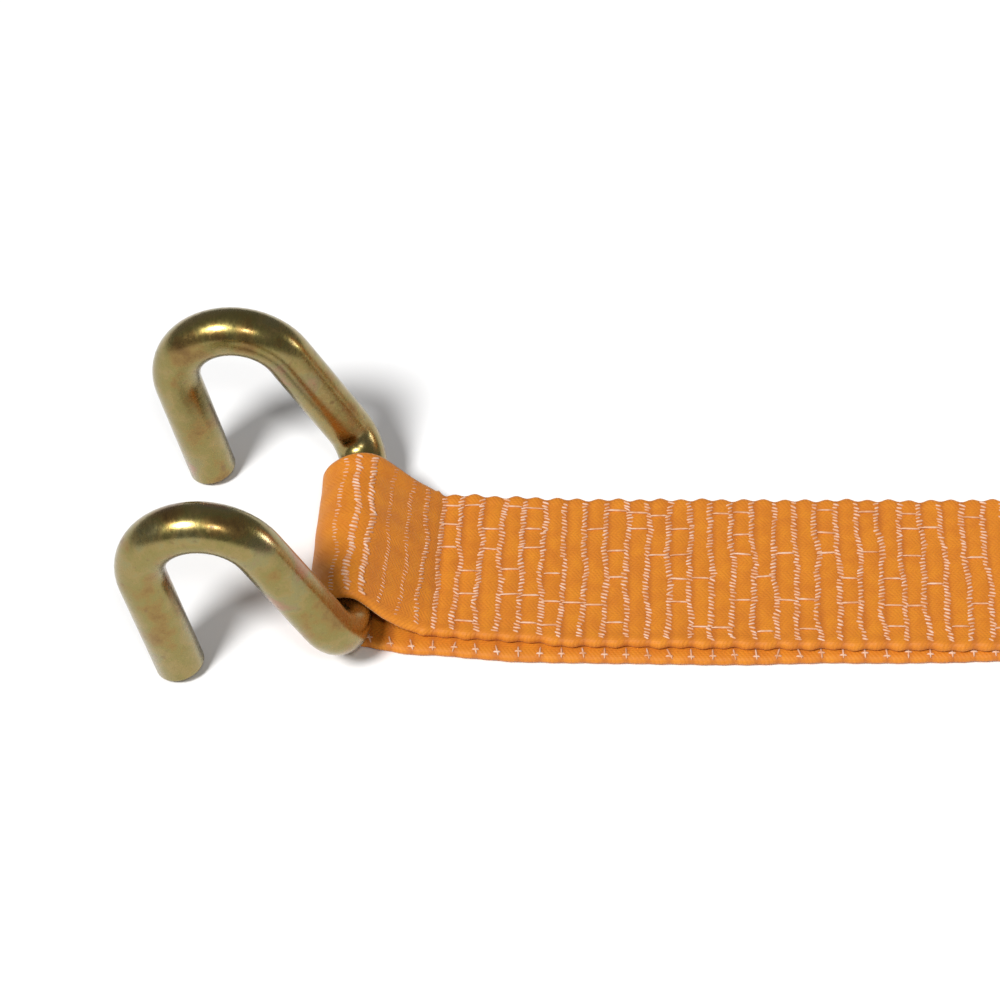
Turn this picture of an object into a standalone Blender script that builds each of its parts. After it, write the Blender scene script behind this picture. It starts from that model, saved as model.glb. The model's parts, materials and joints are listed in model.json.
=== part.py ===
"""Ratchet tie-down, 50 mm: a fixed strap with a double J hook and a ratchet buckle, and beside it
the long adjustable strap, rolled up, with its own hook. Metres, +Z up, lying on z = 0."""

from math import acos, atan2, cos, hypot, pi, radians, sin, sqrt

import bmesh
import bpy
from mathutils import Matrix, Vector

# Clearances
fit_gap = 0.0003  # between pieces that touch or turn on each other
side_gap = 0.0005  # between the plates that swing past each other

# Webbing
web_width = 0.050
web_thickness = 0.0025
loop_draw_in = 0.003  # how much narrower the webbing is where it passes round a hook
loop_close = 0.020  # from the hook's crossbar to where the two plies meet
loop_taper = 0.026  # length over which the webbing comes back to full width
hook_overlap = 0.200  # sewn overlap at a front hook, from the crossbar
rear_overlap = 0.150
anchor_overlap = 0.095
anchor_close = 0.034  # from the anchor bolt to where the two plies meet
seam_margin = 0.003  # from a seam's last row to the end of the webbing
seam_edge = 0.004  # from the webbing's edge to the stitches
fixed_length = 0.330  # front crossbar to anchor bolt
roll_setback = 0.030  # roll's middle, short of the anchor bolt
rear_run = 0.195  # straight run from the roll to the rear crossbar
roll_radius = 0.085
roll_core = 0.018
strap_gap = 0.0304  # sideways, between the two halves of the set as they lie
web_side_gap = 0.002  # from the webbing's edge to the frame's cheek

# Double J hook of round rod
rod_radius = 0.006
crossbar_spare = 0.0008  # straight crossbar beyond each edge of the webbing
corner_radius = 0.009
leg_slope = radians(118.5)  # direction of the legs, from +X
leg_length = 0.0366
jaw_radius = 0.0153
jaw_sweep = radians(162.2)

# Ratchet frame, measured from the anchor bolt along X and from the floor along Z
plate_thickness = 0.003
bolt_height = 0.012
bolt_radius = 0.005
sleeve_radius = 0.0065
bolt_head = 0.0064
nut_height = 0.0084
shank_spare = 0.002  # bolt showing past the nut
hex_flat = 0.0085
washer_thickness = 0.0013
anchor_washer_radius = 0.0098
spool_washer_radius = 0.015
boss_radius = 0.012
spool_reach = 0.052
spool_height = 0.030
head_gap = 0.00245  # from the cheek's round head to the pawls' tips
frame_reach = 0.122
frame_shoulder = 0.026
tail_height = 0.013
tail_corner = 0.006
shoulder_reach = 0.082
base_end = 0.114
base_start = 0.062

# Spool and wheels
spool_radius = 0.010
slot_height = 0.0048
wheel_thickness = 0.004
wheel_radius = 0.021
tooth_depth = 0.005
tooth_count = 12
pin_radius = 0.0015
pin_length = 0.027
pin_eye = 0.0022
pin_wire = 0.0008
spool_end = 0.0036  # spool beyond the split pins

# Handle
arm_length = 0.150
arm_half_height = 0.009
arm_head = 0.017
grip_radius = 0.012
grip_rod_radius = 0.004
seat_reach = 0.061
seat_thickness = 0.0025
seat_half_height = 0.008
rivet_radius = 0.007
rivet_head = 0.0025
arm_taper_out = 0.030  # from the grip to where the arm widens

# Pawls: plates that slide straight towards the spool
pawl_thickness = 0.003
pawl_bite = 0.00205  # how far the tips reach in past the teeth's points
drive_rear = 0.047
drive_travel = 0.007
drive_tab = (0.0296, 0.044)
tab_proud = 0.003  # finger tabs beyond the handle's arms
lip_half_width = 0.012
lip_height = 0.006
lock_angle = radians(-30)
lock_rear = 0.033
lock_travel = 0.006
lock_stop = 0.04605
lock_stop_thickness = 0.0025
tab_half_width = 0.022
tab_half_height = 0.0065
prong_width = 0.004
spring_radius = 0.0036
spring_wire = 0.0005
drive_spring_y = 0.018
lock_spring_y = 0.015
drive_tongue = 0.0055  # length of the tongues that the springs sit on
lock_tongue = 0.005

# Stitches
stitch_pitch = 0.0053
stitch_size = 0.0007
stitch_lead = 0.002  # from the end of a loop to the first row

# Places and sizes that follow from these
loop_width = web_width - loop_draw_in
prong_spacing = loop_width + 2 * (crossbar_spare + corner_radius)
frame_inside = web_width + 2 * web_side_gap
loop_inner = rod_radius + fit_gap
loop_outer = loop_inner + web_thickness
anchor_x = fixed_length
inner_y = frame_inside / 2
frame_y = inner_y + plate_thickness
wheel_y = frame_y + side_gap + wheel_thickness / 2
arm_y = frame_y + 2 * side_gap + wheel_thickness + plate_thickness / 2
arm_inner = arm_y - plate_thickness / 2
arm_outer = arm_y + plate_thickness / 2
pawl_half_width = arm_inner - side_gap + 0.0001
hole_radius = spool_radius + fit_gap
pin_y = arm_outer + 2 * fit_gap + washer_thickness + fit_gap + pin_radius
spool_half_length = pin_y + spool_end
root_radius = wheel_radius - tooth_depth
tip_reach = wheel_radius - pawl_bite
tip_rise = tooth_depth * pawl_thickness / wheel_radius * tooth_count / (2 * pi)
flank_angle = (pawl_thickness / 2 + fit_gap) / tip_reach
frame_head = tip_reach - head_gap
strap_spacing = spool_half_length + strap_gap + prong_spacing / 2 + rod_radius
roll_x = anchor_x - roll_setback


def polar(centre, radius, angle):
    """Point at this angle on a circle in the X-Z plane."""
    return (centre[0] + radius * cos(angle), centre[1] + radius * sin(angle))


def arc(centre, radius, start, end, step=radians(15)):
    """Points on an arc from start to end, both included."""
    count = max(1, round(abs(end - start) / step))
    return [polar(centre, radius, start + (end - start) * i / count) for i in range(count + 1)]


def circle(centre, radius, count=24):
    return [polar(centre, radius, 2 * pi * i / count) for i in range(count)]


def tangent_angle(point, centre, radius, turn):
    """Angle on the circle where a straight line from the point touches it."""
    dx = point[0] - centre[0]
    dz = point[1] - centre[1]
    return atan2(dz, dx) + turn * acos(radius / hypot(dx, dz))


def wrap(centre, radius, low, top, side):
    """Arc round the far side of a loop, from the lower tangent to the upper one. Side is -1 for
    a loop at the left end of a strap and 1 for one at the right end."""
    start = tangent_angle(low, centre, radius, side)
    end = tangent_angle(top, centre, radius, -side)
    while (end - start) * side < 0:
        end += 2 * pi * side
    return arc(centre, radius, start, end)


def material(name, colour, metallic, roughness):
    made = bpy.data.materials.new(name)
    made.use_nodes = True
    shader = made.node_tree.nodes["Principled BSDF"]
    shader.inputs["Base Color"].default_value = (*colour, 1)
    shader.inputs["Metallic"].default_value = metallic
    shader.inputs["Roughness"].default_value = roughness
    return made


def place(obj, name, look, parent, collection, sharp=30):
    """Names the object, gives it its material, parent and collection, and shades its round faces smooth."""
    for owner in list(obj.users_collection):
        owner.objects.unlink(obj)
    collection.objects.link(obj)
    obj.name = name
    obj.data.name = name
    obj.data.materials.clear()
    obj.data.materials.append(look)
    obj.parent = parent
    if obj.type == "MESH":
        obj.data.shade_smooth()
        obj.data.set_sharp_from_angle(angle=radians(sharp))
    return obj


def empty_at(name, location, parent, collection):
    made = bpy.data.objects.new(name, None)
    made.location = location
    made.parent = parent
    made.empty_display_size = 0.01
    collection.objects.link(made)
    return made


def weld(mesh):
    """Merges points that coincide and turns the faces outward."""
    shape = bmesh.new()
    shape.from_mesh(mesh)
    bmesh.ops.remove_doubles(shape, verts=shape.verts, dist=0.000002)
    bmesh.ops.dissolve_degenerate(shape, edges=shape.edges, dist=0.000002)
    bmesh.ops.recalc_face_normals(shape, faces=shape.faces)
    if shape.calc_volume(signed=True) < 0:
        bmesh.ops.reverse_faces(shape, faces=shape.faces)
    shape.to_mesh(mesh)
    shape.free()


def meshed(curve_object):
    """Turns a curve object into a mesh object with welded caps, at the same place."""
    graph = bpy.context.evaluated_depsgraph_get()
    mesh = bpy.data.meshes.new_from_object(curve_object.evaluated_get(graph))
    mesh.transform(curve_object.matrix_world)
    weld(mesh)
    made = bpy.data.objects.new(curve_object.name, mesh)
    bpy.data.objects.remove(curve_object)
    bpy.context.scene.collection.objects.link(made)
    return made


def slab(loops, thickness, centre_y=0.0):
    """A flat outline in X-Z, with its holes, as a solid of this thickness along Y."""
    data = bpy.data.curves.new("outline", "CURVE")
    data.dimensions = "2D"
    data.fill_mode = "BOTH"
    data.extrude = thickness / 2
    for loop in loops:
        spline = data.splines.new("POLY")
        spline.points.add(len(loop) - 1)
        for point, (x, z) in zip(spline.points, loop):
            point.co = (x, z, 0, 1)
        spline.use_cyclic_u = True
    made = bpy.data.objects.new("outline", data)
    made.rotation_euler = (pi / 2, 0, 0)
    made.location = (0, centre_y, 0)
    bpy.context.scene.collection.objects.link(made)
    bpy.context.view_layer.update()
    return meshed(made)


def flat_slab(loops, thickness):
    """A flat outline in X-Y, with its holes, as a level plate about z = 0."""
    made = slab(loops, thickness)
    made.data.transform(Matrix.Rotation(-pi / 2, 4, "X"))
    return made


def rod(points, radius, sides=2, cyclic=False):
    """A round bar along these points."""
    data = bpy.data.curves.new("rod", "CURVE")
    data.dimensions = "3D"
    data.bevel_depth = radius
    data.bevel_resolution = sides
    data.use_fill_caps = not cyclic
    spline = data.splines.new("POLY")
    spline.points.add(len(points) - 1)
    for point, place_at in zip(spline.points, points):
        point.co = (*place_at, 1)
    spline.use_cyclic_u = cyclic
    made = bpy.data.objects.new("rod", data)
    bpy.context.scene.collection.objects.link(made)
    bpy.context.view_layer.update()
    return made


def box(low, high):
    """A box between two corners."""
    shape = bmesh.new()
    size = Vector(high) - Vector(low)
    middle = (Vector(high) + Vector(low)) / 2
    bmesh.ops.create_cube(shape, size=1, matrix=Matrix.Translation(middle) @ Matrix.Diagonal((*size, 1)))
    return from_bmesh(shape)


def cylinder(centre, radius, length, axis="Y", segments=24, turn=0.0):
    """A round or, with six segments, a hexagonal bar about its centre."""
    shape = bmesh.new()
    aim = {"X": Matrix.Rotation(pi / 2, 4, "Y"), "Y": Matrix.Rotation(pi / 2, 4, "X"), "Z": Matrix()}[axis]
    matrix = Matrix.Translation(centre) @ aim @ Matrix.Rotation(turn, 4, "Z")
    bmesh.ops.create_cone(
        shape, cap_ends=True, segments=segments, radius1=radius, radius2=radius, depth=length, matrix=matrix
    )
    return from_bmesh(shape)


def from_bmesh(shape):
    mesh = bpy.data.meshes.new("shape")
    shape.to_mesh(mesh)
    shape.free()
    made = bpy.data.objects.new("shape", mesh)
    bpy.context.scene.collection.objects.link(made)
    return made


def combine(base, other, operation):
    """Applies one Boolean to the base's mesh, and removes the other object."""
    change = base.modifiers.new("combine", "BOOLEAN")
    change.operation = operation
    change.solver = "EXACT"
    change.object = other
    bpy.context.view_layer.update()
    graph = bpy.context.evaluated_depsgraph_get()
    mesh = bpy.data.meshes.new_from_object(base.evaluated_get(graph))
    weld(mesh)
    base.modifiers.clear()
    base.data = mesh
    bpy.data.objects.remove(other)
    return base


def moved(obj, offset):
    """Shifts a mesh within its object, so that the object's origin stays on its joint."""
    obj.data.transform(Matrix.Translation(offset))
    return obj


# --- Double J hook -----------------------------------------------------------------------------


def hook_half(side):
    """Points of one prong, from the crossbar's straight part to the flat-cut tip."""
    half = prong_spacing / 2
    up = (cos(leg_slope), sin(leg_slope))
    points = []
    for i in range(1, 7):
        bend = radians(15 * i)
        along = corner_radius * (1 - cos(bend))
        across = half - corner_radius + corner_radius * sin(bend)
        points.append((along * up[0], side * across, along * up[1]))
    start = (leg_length * up[0], leg_length * up[1])
    centre = polar(start, jaw_radius, leg_slope + pi / 2)
    first = leg_slope - pi / 2
    jaw = arc(centre, jaw_radius, first, first + jaw_sweep, radians(13.5))
    points += [(x, side * half, z) for x, z in jaw]
    down = leg_slope + jaw_sweep
    end = jaw[-1]
    tip_drop = end[1] + loop_outer + rod_radius * cos(down) * -1
    length = tip_drop / -sin(down)
    points.append((end[0] + length * cos(down), side * half, end[1] + length * sin(down)))
    return points


def double_hook(name, look, parent, collection, facing):
    """The hook, its origin on the crossbar's axis. Facing is 1 for prongs towards -X."""
    near = hook_half(-1)[::-1]
    far = hook_half(1)
    middle = [(0, y * (prong_spacing / 2 - corner_radius), 0) for y in (-1, 0, 1)]
    points = [(facing * x, y, z) for x, y, z in near + middle + far]
    return place(rod(points, rod_radius, 4), name, look, parent, collection)


# --- Webbing -----------------------------------------------------------------------------------


def hook_loop_points(x, side):
    """Outer and inner outlines of a webbing loop round a hook's crossbar that lies at this x."""
    centre = (x, loop_outer)
    low = (x - side * loop_close, 0)
    top = (x - side * loop_close, 2 * web_thickness)
    cusp = (x - side * (loop_close - 0.0015), web_thickness)
    outer = wrap(centre, loop_outer, low, top, side)
    inner = wrap(centre, loop_inner, cusp, cusp, side) + [cusp]
    return outer, inner


def narrow_at(strap, x, side):
    """Draws the webbing in towards the hook at this x."""
    for vertex in strap.data.vertices:
        away = (x - vertex.co.x) * side
        share = min(max(away / loop_taper, 0), 1)
        width = loop_width + (web_width - loop_width) * share
        vertex.co.y *= width / web_width


def fixed_strap(look, parent, collection):
    """Short strap: a loop round the hook, a sewn overlap, and a loop round the anchor sleeve."""
    hook_outer, hook_inner = hook_loop_points(0, -1)
    anchor = (anchor_x, bolt_height)
    inner_radius = sleeve_radius + fit_gap
    outer_radius = inner_radius + web_thickness
    join = anchor_x - anchor_close
    low = (join, 0)
    top = (join, 2 * web_thickness)
    cusp = (join + 0.005, web_thickness + 0.0007)
    steps = [
        (anchor_x - anchor_overlap, 2 * web_thickness),
        (anchor_x - anchor_overlap, web_thickness),
        (hook_overlap, web_thickness),
        (hook_overlap, 2 * web_thickness),
        (loop_taper, 2 * web_thickness),
        (loop_close, 2 * web_thickness),
    ]
    outline = [(loop_taper, 0), low] + wrap(anchor, outer_radius, low, top, 1) + [top] + steps
    outline += hook_outer[::-1]
    anchor_inner = wrap(anchor, inner_radius, cusp, cusp, 1) + [cusp]
    strap = slab([outline, hook_inner, anchor_inner], web_width)
    narrow_at(strap, 0, -1)
    return place(strap, "fixed_strap", look, parent, collection)


def long_strap(look, parent, collection):
    """Adjustable strap: rolled up, standing on the floor, with its hook end drawn out flat."""
    hook_outer, hook_inner = hook_loop_points(rear_run, 1)
    centre = (0, roll_radius)
    meet = acos(1 - web_thickness / roll_radius)
    roll = arc(centre, roll_radius, meet - pi / 2, 3 * pi / 2 - radians(6), radians(6))
    roll += [(0, 0), (rear_run - loop_taper, 0)]
    steps = [
        (rear_run - loop_close, 2 * web_thickness),
        (rear_run - loop_taper, 2 * web_thickness),
        (rear_run - rear_overlap, 2 * web_thickness),
        (rear_run - rear_overlap, web_thickness),
    ]
    strap = slab([hook_outer + steps + roll, hook_inner, circle(centre, roll_core, 36)], web_width)
    narrow_at(strap, rear_run, 1)
    return place(strap, "long_strap", look, parent, collection)


def seam(name, start, end, look, parent, collection):
    """The seam's thread on top of a sewn overlap: cross rows joined by the two edge rows."""
    count = int((end - start) / stitch_pitch)
    half = web_width / 2 - seam_edge
    end = start + count * stitch_pitch + stitch_size
    outline = [(start, -half), (end, -half), (end, half), (start, half)]
    side = half - stitch_size
    windows = []
    for i in range(count):
        left = start + i * stitch_pitch + stitch_size
        right = start + (i + 1) * stitch_pitch
        windows.append([(left, -side), (right, -side), (right, side), (left, side)])
    thread = flat_slab([outline] + windows, stitch_size)
    moved(thread, (0, 0, 2 * web_thickness + fit_gap + stitch_size / 2))
    return place(thread, name, look, parent, collection)


# --- Ratchet buckle ----------------------------------------------------------------------------


def side_plate(centre_y):
    """One cheek of the frame. X from the anchor bolt, Z from the floor."""
    bolt = (0, bolt_height)
    spool = (spool_reach, spool_height)
    dip = frame_shoulder - spool_height
    shoulder = sqrt(frame_head**2 - dip**2)
    turn = atan2(dip, shoulder)
    neck = polar(spool, frame_head, pi - turn)
    boss_start = tangent_angle(neck, bolt, boss_radius, 1)
    corner = tail_corner
    tail = arc((frame_reach - corner, corner), corner, -pi / 2, 0, radians(30))
    tail += arc((frame_reach - corner, tail_height - corner), corner, 0, radians(65), radians(22))
    outline = tail + [(shoulder_reach, frame_shoulder)]
    outline += arc(spool, frame_head, turn, pi - turn)
    outline += arc(bolt, boss_radius, boss_start, 3 * pi / 2)
    along = (cos(lock_angle), sin(lock_angle))
    across = (-sin(lock_angle), cos(lock_angle))
    slot_half = pawl_thickness / 2 + fit_gap
    ends = (tip_reach - 0.0014, lock_rear + lock_travel + 0.002)
    slot = []
    for reach, side in ((ends[0], -1), (ends[1], -1), (ends[1], 1), (ends[0], 1)):
        slot.append(
            (
                spool[0] + reach * along[0] + side * slot_half * across[0],
                spool[1] + reach * along[1] + side * slot_half * across[1],
            )
        )
    holes = [circle(spool, hole_radius, 32), circle(bolt, bolt_radius + fit_gap), slot]
    return slab([outline] + holes, plate_thickness, centre_y)


def ratchet_frame(look, parent, collection):
    """Channel frame: two cheeks, the base between them, and a tab that carries the lock springs."""
    middle = inner_y + plate_thickness / 2
    frame = side_plate(-middle)
    combine(frame, side_plate(middle), "UNION")
    combine(frame, box((base_start, -middle, 0), (base_end, middle, plate_thickness)), "UNION")
    reach = lock_stop + lock_stop_thickness / 2
    half = lock_stop_thickness / 2
    tab = box((-half, -tab_half_width, -tab_half_height), (half, tab_half_width, tab_half_height))
    tab.data.transform(Matrix.Rotation(-lock_angle, 4, "Y"))
    moved(tab, (spool_reach + reach * cos(lock_angle), 0, spool_height + reach * sin(lock_angle)))
    combine(frame, tab, "UNION")
    return place(frame, "frame", look, parent, collection)


def anchor_fasteners(looks, parent, collection):
    """Bolt, washers, nut and spacer sleeve at the strap's end of the frame, about their own axis."""
    washer_y = frame_y + fit_gap
    head_y = washer_y + washer_thickness + fit_gap
    hex_radius = hex_flat / cos(pi / 6)
    shank_end = head_y + nut_height + shank_spare
    shank_start = head_y + bolt_head / 2
    bolt = cylinder((0, (shank_end - shank_start) / 2, 0), bolt_radius, shank_end + shank_start)
    head = cylinder((0, -head_y - bolt_head / 2, 0), hex_radius, bolt_head, segments=6, turn=pi / 6)
    place(combine(bolt, head, "UNION"), "anchor_bolt", looks["zinc"], parent, collection)
    nut = slab([hexagon(hex_radius), circle((0, 0), bolt_radius + fit_gap)], nut_height, head_y + nut_height / 2)
    place(nut, "anchor_nut", looks["zinc"], parent, collection)
    ring = [circle((0, 0), anchor_washer_radius, 32), circle((0, 0), bolt_radius + fit_gap)]
    for word, side in (("near", -1), ("far", 1)):
        washer = slab(ring, washer_thickness, side * (washer_y + washer_thickness / 2))
        place(washer, "anchor_washer_" + word, looks["zinc"], parent, collection)
    ring = [circle((0, 0), sleeve_radius), circle((0, 0), bolt_radius + fit_gap)]
    sleeve = slab(ring, frame_inside - 2 * fit_gap)
    place(sleeve, "anchor_sleeve", looks["zinc"], parent, collection)


def hexagon(radius):
    return circle((0, 0), radius, 6)


def half_round(radius, flat):
    """Outline of the part of a disc that lies above this height."""
    edge = atan2(flat, sqrt(radius**2 - flat**2))
    return arc((0, 0), radius, edge, pi - edge)


def spool_half(name, side, look, parent, collection):
    """Half of the slotted spool, with a hole near each end for the split pin."""
    outline = [(x, side * z) for x, z in half_round(spool_radius, slot_height / 2)]
    half = slab([outline], 2 * spool_half_length)
    for end in (-1, 1):
        hole = cylinder((0, end * pin_y, 0), pin_radius + fit_gap, 0.03, "Z", 12)
        combine(half, hole, "DIFFERENCE")
    return place(half, name, look, parent, collection)


def toothed_rim():
    """Saw teeth: a radial flank, then a straight ramp down to the next flank's root."""
    pitch = 2 * pi / tooth_count
    points = []
    for i in range(tooth_count):
        angle = flank_angle + i * pitch
        points.append(polar((0, 0), root_radius, angle))
        points.append(polar((0, 0), wheel_radius, angle))
    return points


def ratchet_wheel(name, side, look, parent, collection):
    """Wheel with two half-round holes, so that its bridge sits in the spool's slot."""
    bridge = slot_height / 2 - fit_gap
    hole = half_round(hole_radius, bridge)
    loops = [toothed_rim(), hole, [(x, -z) for x, z in hole]]
    return place(slab(loops, wheel_thickness, side * wheel_y), name, look, parent, collection)


def spool_washer(name, side, look, parent, collection):
    centre_y = side * (arm_outer + fit_gap + washer_thickness / 2)
    ring = [circle((0, 0), spool_washer_radius, 36), circle((0, 0), hole_radius, 32)]
    return place(slab(ring, washer_thickness, centre_y), name, look, parent, collection)


def split_pin(name, side, look, parent, collection):
    """Split pin through both halves of the spool, with its eye above."""
    pin = cylinder((0, side * pin_y, -0.001), pin_radius, pin_length, "Z", 12)
    eye = [(x, side * pin_y, z + 0.0145) for x, z in circle((0, 0), pin_eye, 12)]
    ring = meshed(rod(eye, pin_wire, 1, cyclic=True))
    return place(combine(pin, ring, "UNION"), name, look, parent, collection)


def handle_arm(name, side, look, parent, collection):
    """Arm of the handle, about the spool's axis: a round head, a slot for the pawl, and the grip's end."""
    start = atan2(arm_half_height, sqrt(arm_head**2 - arm_half_height**2))
    grip = (arm_length, 0)
    shoulder = (arm_length - arm_taper_out, arm_half_height)
    end = tangent_angle(shoulder, grip, grip_radius, -1)
    outline = [shoulder] + arc((0, 0), arm_head, start, 2 * pi - start)
    outline += [(shoulder[0], -shoulder[1])] + arc(grip, grip_radius, -end, end)
    slot_half = pawl_thickness / 2 + fit_gap
    near = drive_tab[0] - fit_gap
    far = drive_tab[1] + drive_travel + 2 * fit_gap
    slot = [(near, -slot_half), (far, -slot_half), (far, slot_half), (near, slot_half)]
    holes = [circle((0, 0), hole_radius, 32), circle(grip, grip_rod_radius + fit_gap), slot]
    return place(slab([outline] + holes, plate_thickness, side * arm_y), name, look, parent, collection)


def handle_grip(looks, parent, collection):
    """Moulded grip tube on a riveted rod, and the plate that carries the drive springs."""
    grip = (arm_length, 0)
    ring = [circle(grip, grip_radius, 36), circle(grip, grip_rod_radius + fit_gap)]
    tube = slab(ring, 2 * (arm_inner - fit_gap))
    place(tube, "grip_tube", looks["plastic"], parent, collection)
    head = rivet_head
    bar = cylinder((arm_length, 0, 0), grip_rod_radius, 2 * (arm_outer + fit_gap + head / 2))
    for side in (-1, 1):
        rivet = cylinder((arm_length, side * (arm_outer + fit_gap + head / 2), 0), rivet_radius, head)
        combine(bar, rivet, "UNION")
    place(bar, "grip_rod", looks["zinc"], parent, collection)
    wide = arm_inner - fit_gap
    seat = box((seat_reach, -wide, -seat_half_height), (seat_reach + seat_thickness, wide, seat_half_height))
    place(seat, "spring_seat", looks["zinc"], parent, collection)


def pawl_plate(outline):
    """A pawl lying along +X, its outline in X-Y, with the tip cut back on its lower side."""
    plate = flat_slab([outline], pawl_thickness)
    for vertex in plate.data.vertices:
        if vertex.co.x < tip_reach + 0.0001 and vertex.co.z < 0:
            vertex.co.x += tip_rise
    return plate


def tongues(rear, spacing, length):
    """Outline points of the two tongues on a pawl's rear edge that the springs sit on."""
    points = []
    for centre in (-spacing, spacing):
        low = centre - prong_width / 2
        high = centre + prong_width / 2
        points += [(rear, low), (rear + length, low), (rear + length, high), (rear, high)]
    return points


def drive_pawl(look, parent, collection):
    """Pawl in the handle: its tabs run in the arms' slots, and the lip is for the fingers."""
    wide = pawl_half_width
    tab = arm_outer + tab_proud
    narrow = wide - 0.002
    near, far = drive_tab
    outline = [(tip_reach, -wide), (near, -wide), (near, -tab), (far, -tab), (far, -narrow)]
    outline += [(drive_rear, -narrow)] + tongues(drive_rear, drive_spring_y, drive_tongue)
    outline += [(drive_rear, narrow), (far, narrow), (far, tab), (near, tab), (near, wide), (tip_reach, wide)]
    pawl = pawl_plate(outline)
    lip = box((drive_rear - 0.003, -lip_half_width, -0.0005), (drive_rear - 0.0005, lip_half_width, lip_height))
    return place(combine(pawl, lip, "UNION"), "drive_pawl", look, parent, collection)


def lock_pawl(look, parent, collection):
    """Pawl in the frame, sloping down away from the spool."""
    wide = pawl_half_width
    outline = [(tip_reach, -wide), (lock_rear, -wide)] + tongues(lock_rear, lock_spring_y, lock_tongue)
    outline += [(lock_rear, wide), (tip_reach, wide)]
    pawl = pawl_plate(outline)
    pawl.data.transform(Matrix.Rotation(-lock_angle, 4, "Y"))
    return place(pawl, "lock_pawl", look, parent, collection)


def pawl_spring(name, start, end, centre, slope, look, parent, collection):
    """Compression spring along a pawl's slide, from start to end."""
    turns = 5
    steps = 8
    low = start + fit_gap + spring_wire
    high = end - fit_gap - spring_wire
    points = []
    for i in range(turns * steps + 1):
        angle = 2 * pi * i / steps
        along = low + (high - low) * i / (turns * steps)
        points.append((along, centre + spring_radius * cos(angle), spring_radius * sin(angle)))
    coil = meshed(rod(points, spring_wire, 1))
    coil.data.transform(Matrix.Rotation(-slope, 4, "Y"))
    return place(coil, name, look, parent, collection)


def stand_on_floor(root, collection):
    """Moves the whole set so that its box is centred over the origin, with its lowest point at z = 0."""
    bpy.context.view_layer.update()
    graph = bpy.context.evaluated_depsgraph_get()
    corners = []
    for obj in collection.objects:
        if obj.type == "EMPTY":
            continue
        mesh = obj.evaluated_get(graph).to_mesh()
        corners += [obj.matrix_world @ vertex.co for vertex in mesh.vertices]
    low = Vector([min(corner[i] for corner in corners) for i in range(3)])
    high = Vector([max(corner[i] for corner in corners) for i in range(3)])
    root.location = (-(low.x + high.x) / 2, -(low.y + high.y) / 2, -low.z)


def main():
    for obj in list(bpy.data.objects):
        bpy.data.objects.remove(obj)
    collection = bpy.data.collections.new("ratchet_tie_down")
    bpy.context.scene.collection.children.link(collection)
    looks = {
        "hook": material("yellow_zinc_hook", (0.33, 0.25, 0.08), 1.0, 0.28),
        "webbing": material("orange_webbing", (0.70, 0.22, 0.02), 0.0, 0.8),
        "thread": material("pale_thread", (0.85, 0.62, 0.42), 0.0, 0.7),
        "frame": material("frame_zinc", (0.45, 0.38, 0.20), 1.0, 0.35),
        "zinc": material("bright_zinc", (0.60, 0.60, 0.58), 1.0, 0.35),
        "wheel": material("dark_wheel_steel", (0.25, 0.24, 0.22), 1.0, 0.4),
        "plastic": material("black_grip_plastic", (0.02, 0.02, 0.02), 0.0, 0.5),
    }
    root = empty_at("set_origin", (0, 0, 0), None, collection)
    front_axis = empty_at("front_hook_axis", (0, 0, loop_outer), root, collection)
    anchor_axis = empty_at("anchor_axis", (anchor_x, 0, bolt_height), root, collection)
    buckle = empty_at("buckle_floor", (0, 0, -bolt_height), anchor_axis, collection)
    spool_axis = empty_at("spool_axis", (spool_reach, 0, spool_height), buckle, collection)
    handle_axis = empty_at("handle_axis", (spool_reach, 0, spool_height), buckle, collection)
    rolled = empty_at("rolled_strap", (roll_x, strap_spacing, 0), root, collection)
    rear_axis = empty_at("rear_hook_axis", (rear_run, 0, loop_outer), rolled, collection)

    double_hook("hook_front", looks["hook"], front_axis, collection, 1)
    fixed_strap(looks["webbing"], root, collection)
    stitch_start = loop_close + stitch_lead
    seam("hook_seam", stitch_start, hook_overlap - seam_margin, looks["thread"], root, collection)
    anchor_end = anchor_x - anchor_close - 2 * seam_margin
    seam("anchor_seam", anchor_x - anchor_overlap + seam_margin, anchor_end, looks["thread"], root, collection)

    ratchet_frame(looks["frame"], buckle, collection)
    anchor_fasteners(looks, anchor_axis, collection)
    spool_half("spool_half_upper", 1, looks["zinc"], spool_axis, collection)
    spool_half("spool_half_lower", -1, looks["zinc"], spool_axis, collection)
    for word, side in (("near", -1), ("far", 1)):
        ratchet_wheel("ratchet_wheel_" + word, side, looks["wheel"], spool_axis, collection)
        spool_washer("spool_washer_" + word, side, looks["zinc"], spool_axis, collection)
        split_pin("split_pin_" + word, side, looks["zinc"], spool_axis, collection)
        handle_arm("handle_arm_" + word, side, looks["frame"], handle_axis, collection)
    handle_grip(looks, handle_axis, collection)
    drive_pawl(looks["zinc"], handle_axis, collection)
    lock_pawl(looks["zinc"], spool_axis, collection)
    for word, side in (("near", -1), ("far", 1)):
        drive_y = side * drive_spring_y
        lock_y = side * lock_spring_y
        steel = looks["zinc"]
        pawl_spring("drive_spring_" + word, drive_rear, seat_reach, drive_y, 0, steel, handle_axis, collection)
        pawl_spring("lock_spring_" + word, lock_rear, lock_stop, lock_y, lock_angle, steel, spool_axis, collection)

    long_strap(looks["webbing"], rolled, collection)
    rear_end = rear_run - loop_close - stitch_lead
    seam("rear_seam", rear_run - rear_overlap + seam_margin, rear_end, looks["thread"], rolled, collection)
    double_hook("hook_rear", looks["hook"], rear_axis, collection, -1)
    stand_on_floor(root, collection)


main()
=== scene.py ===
import json
import math

import bpy
import numpy as np
from mathutils import Matrix, Vector

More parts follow.
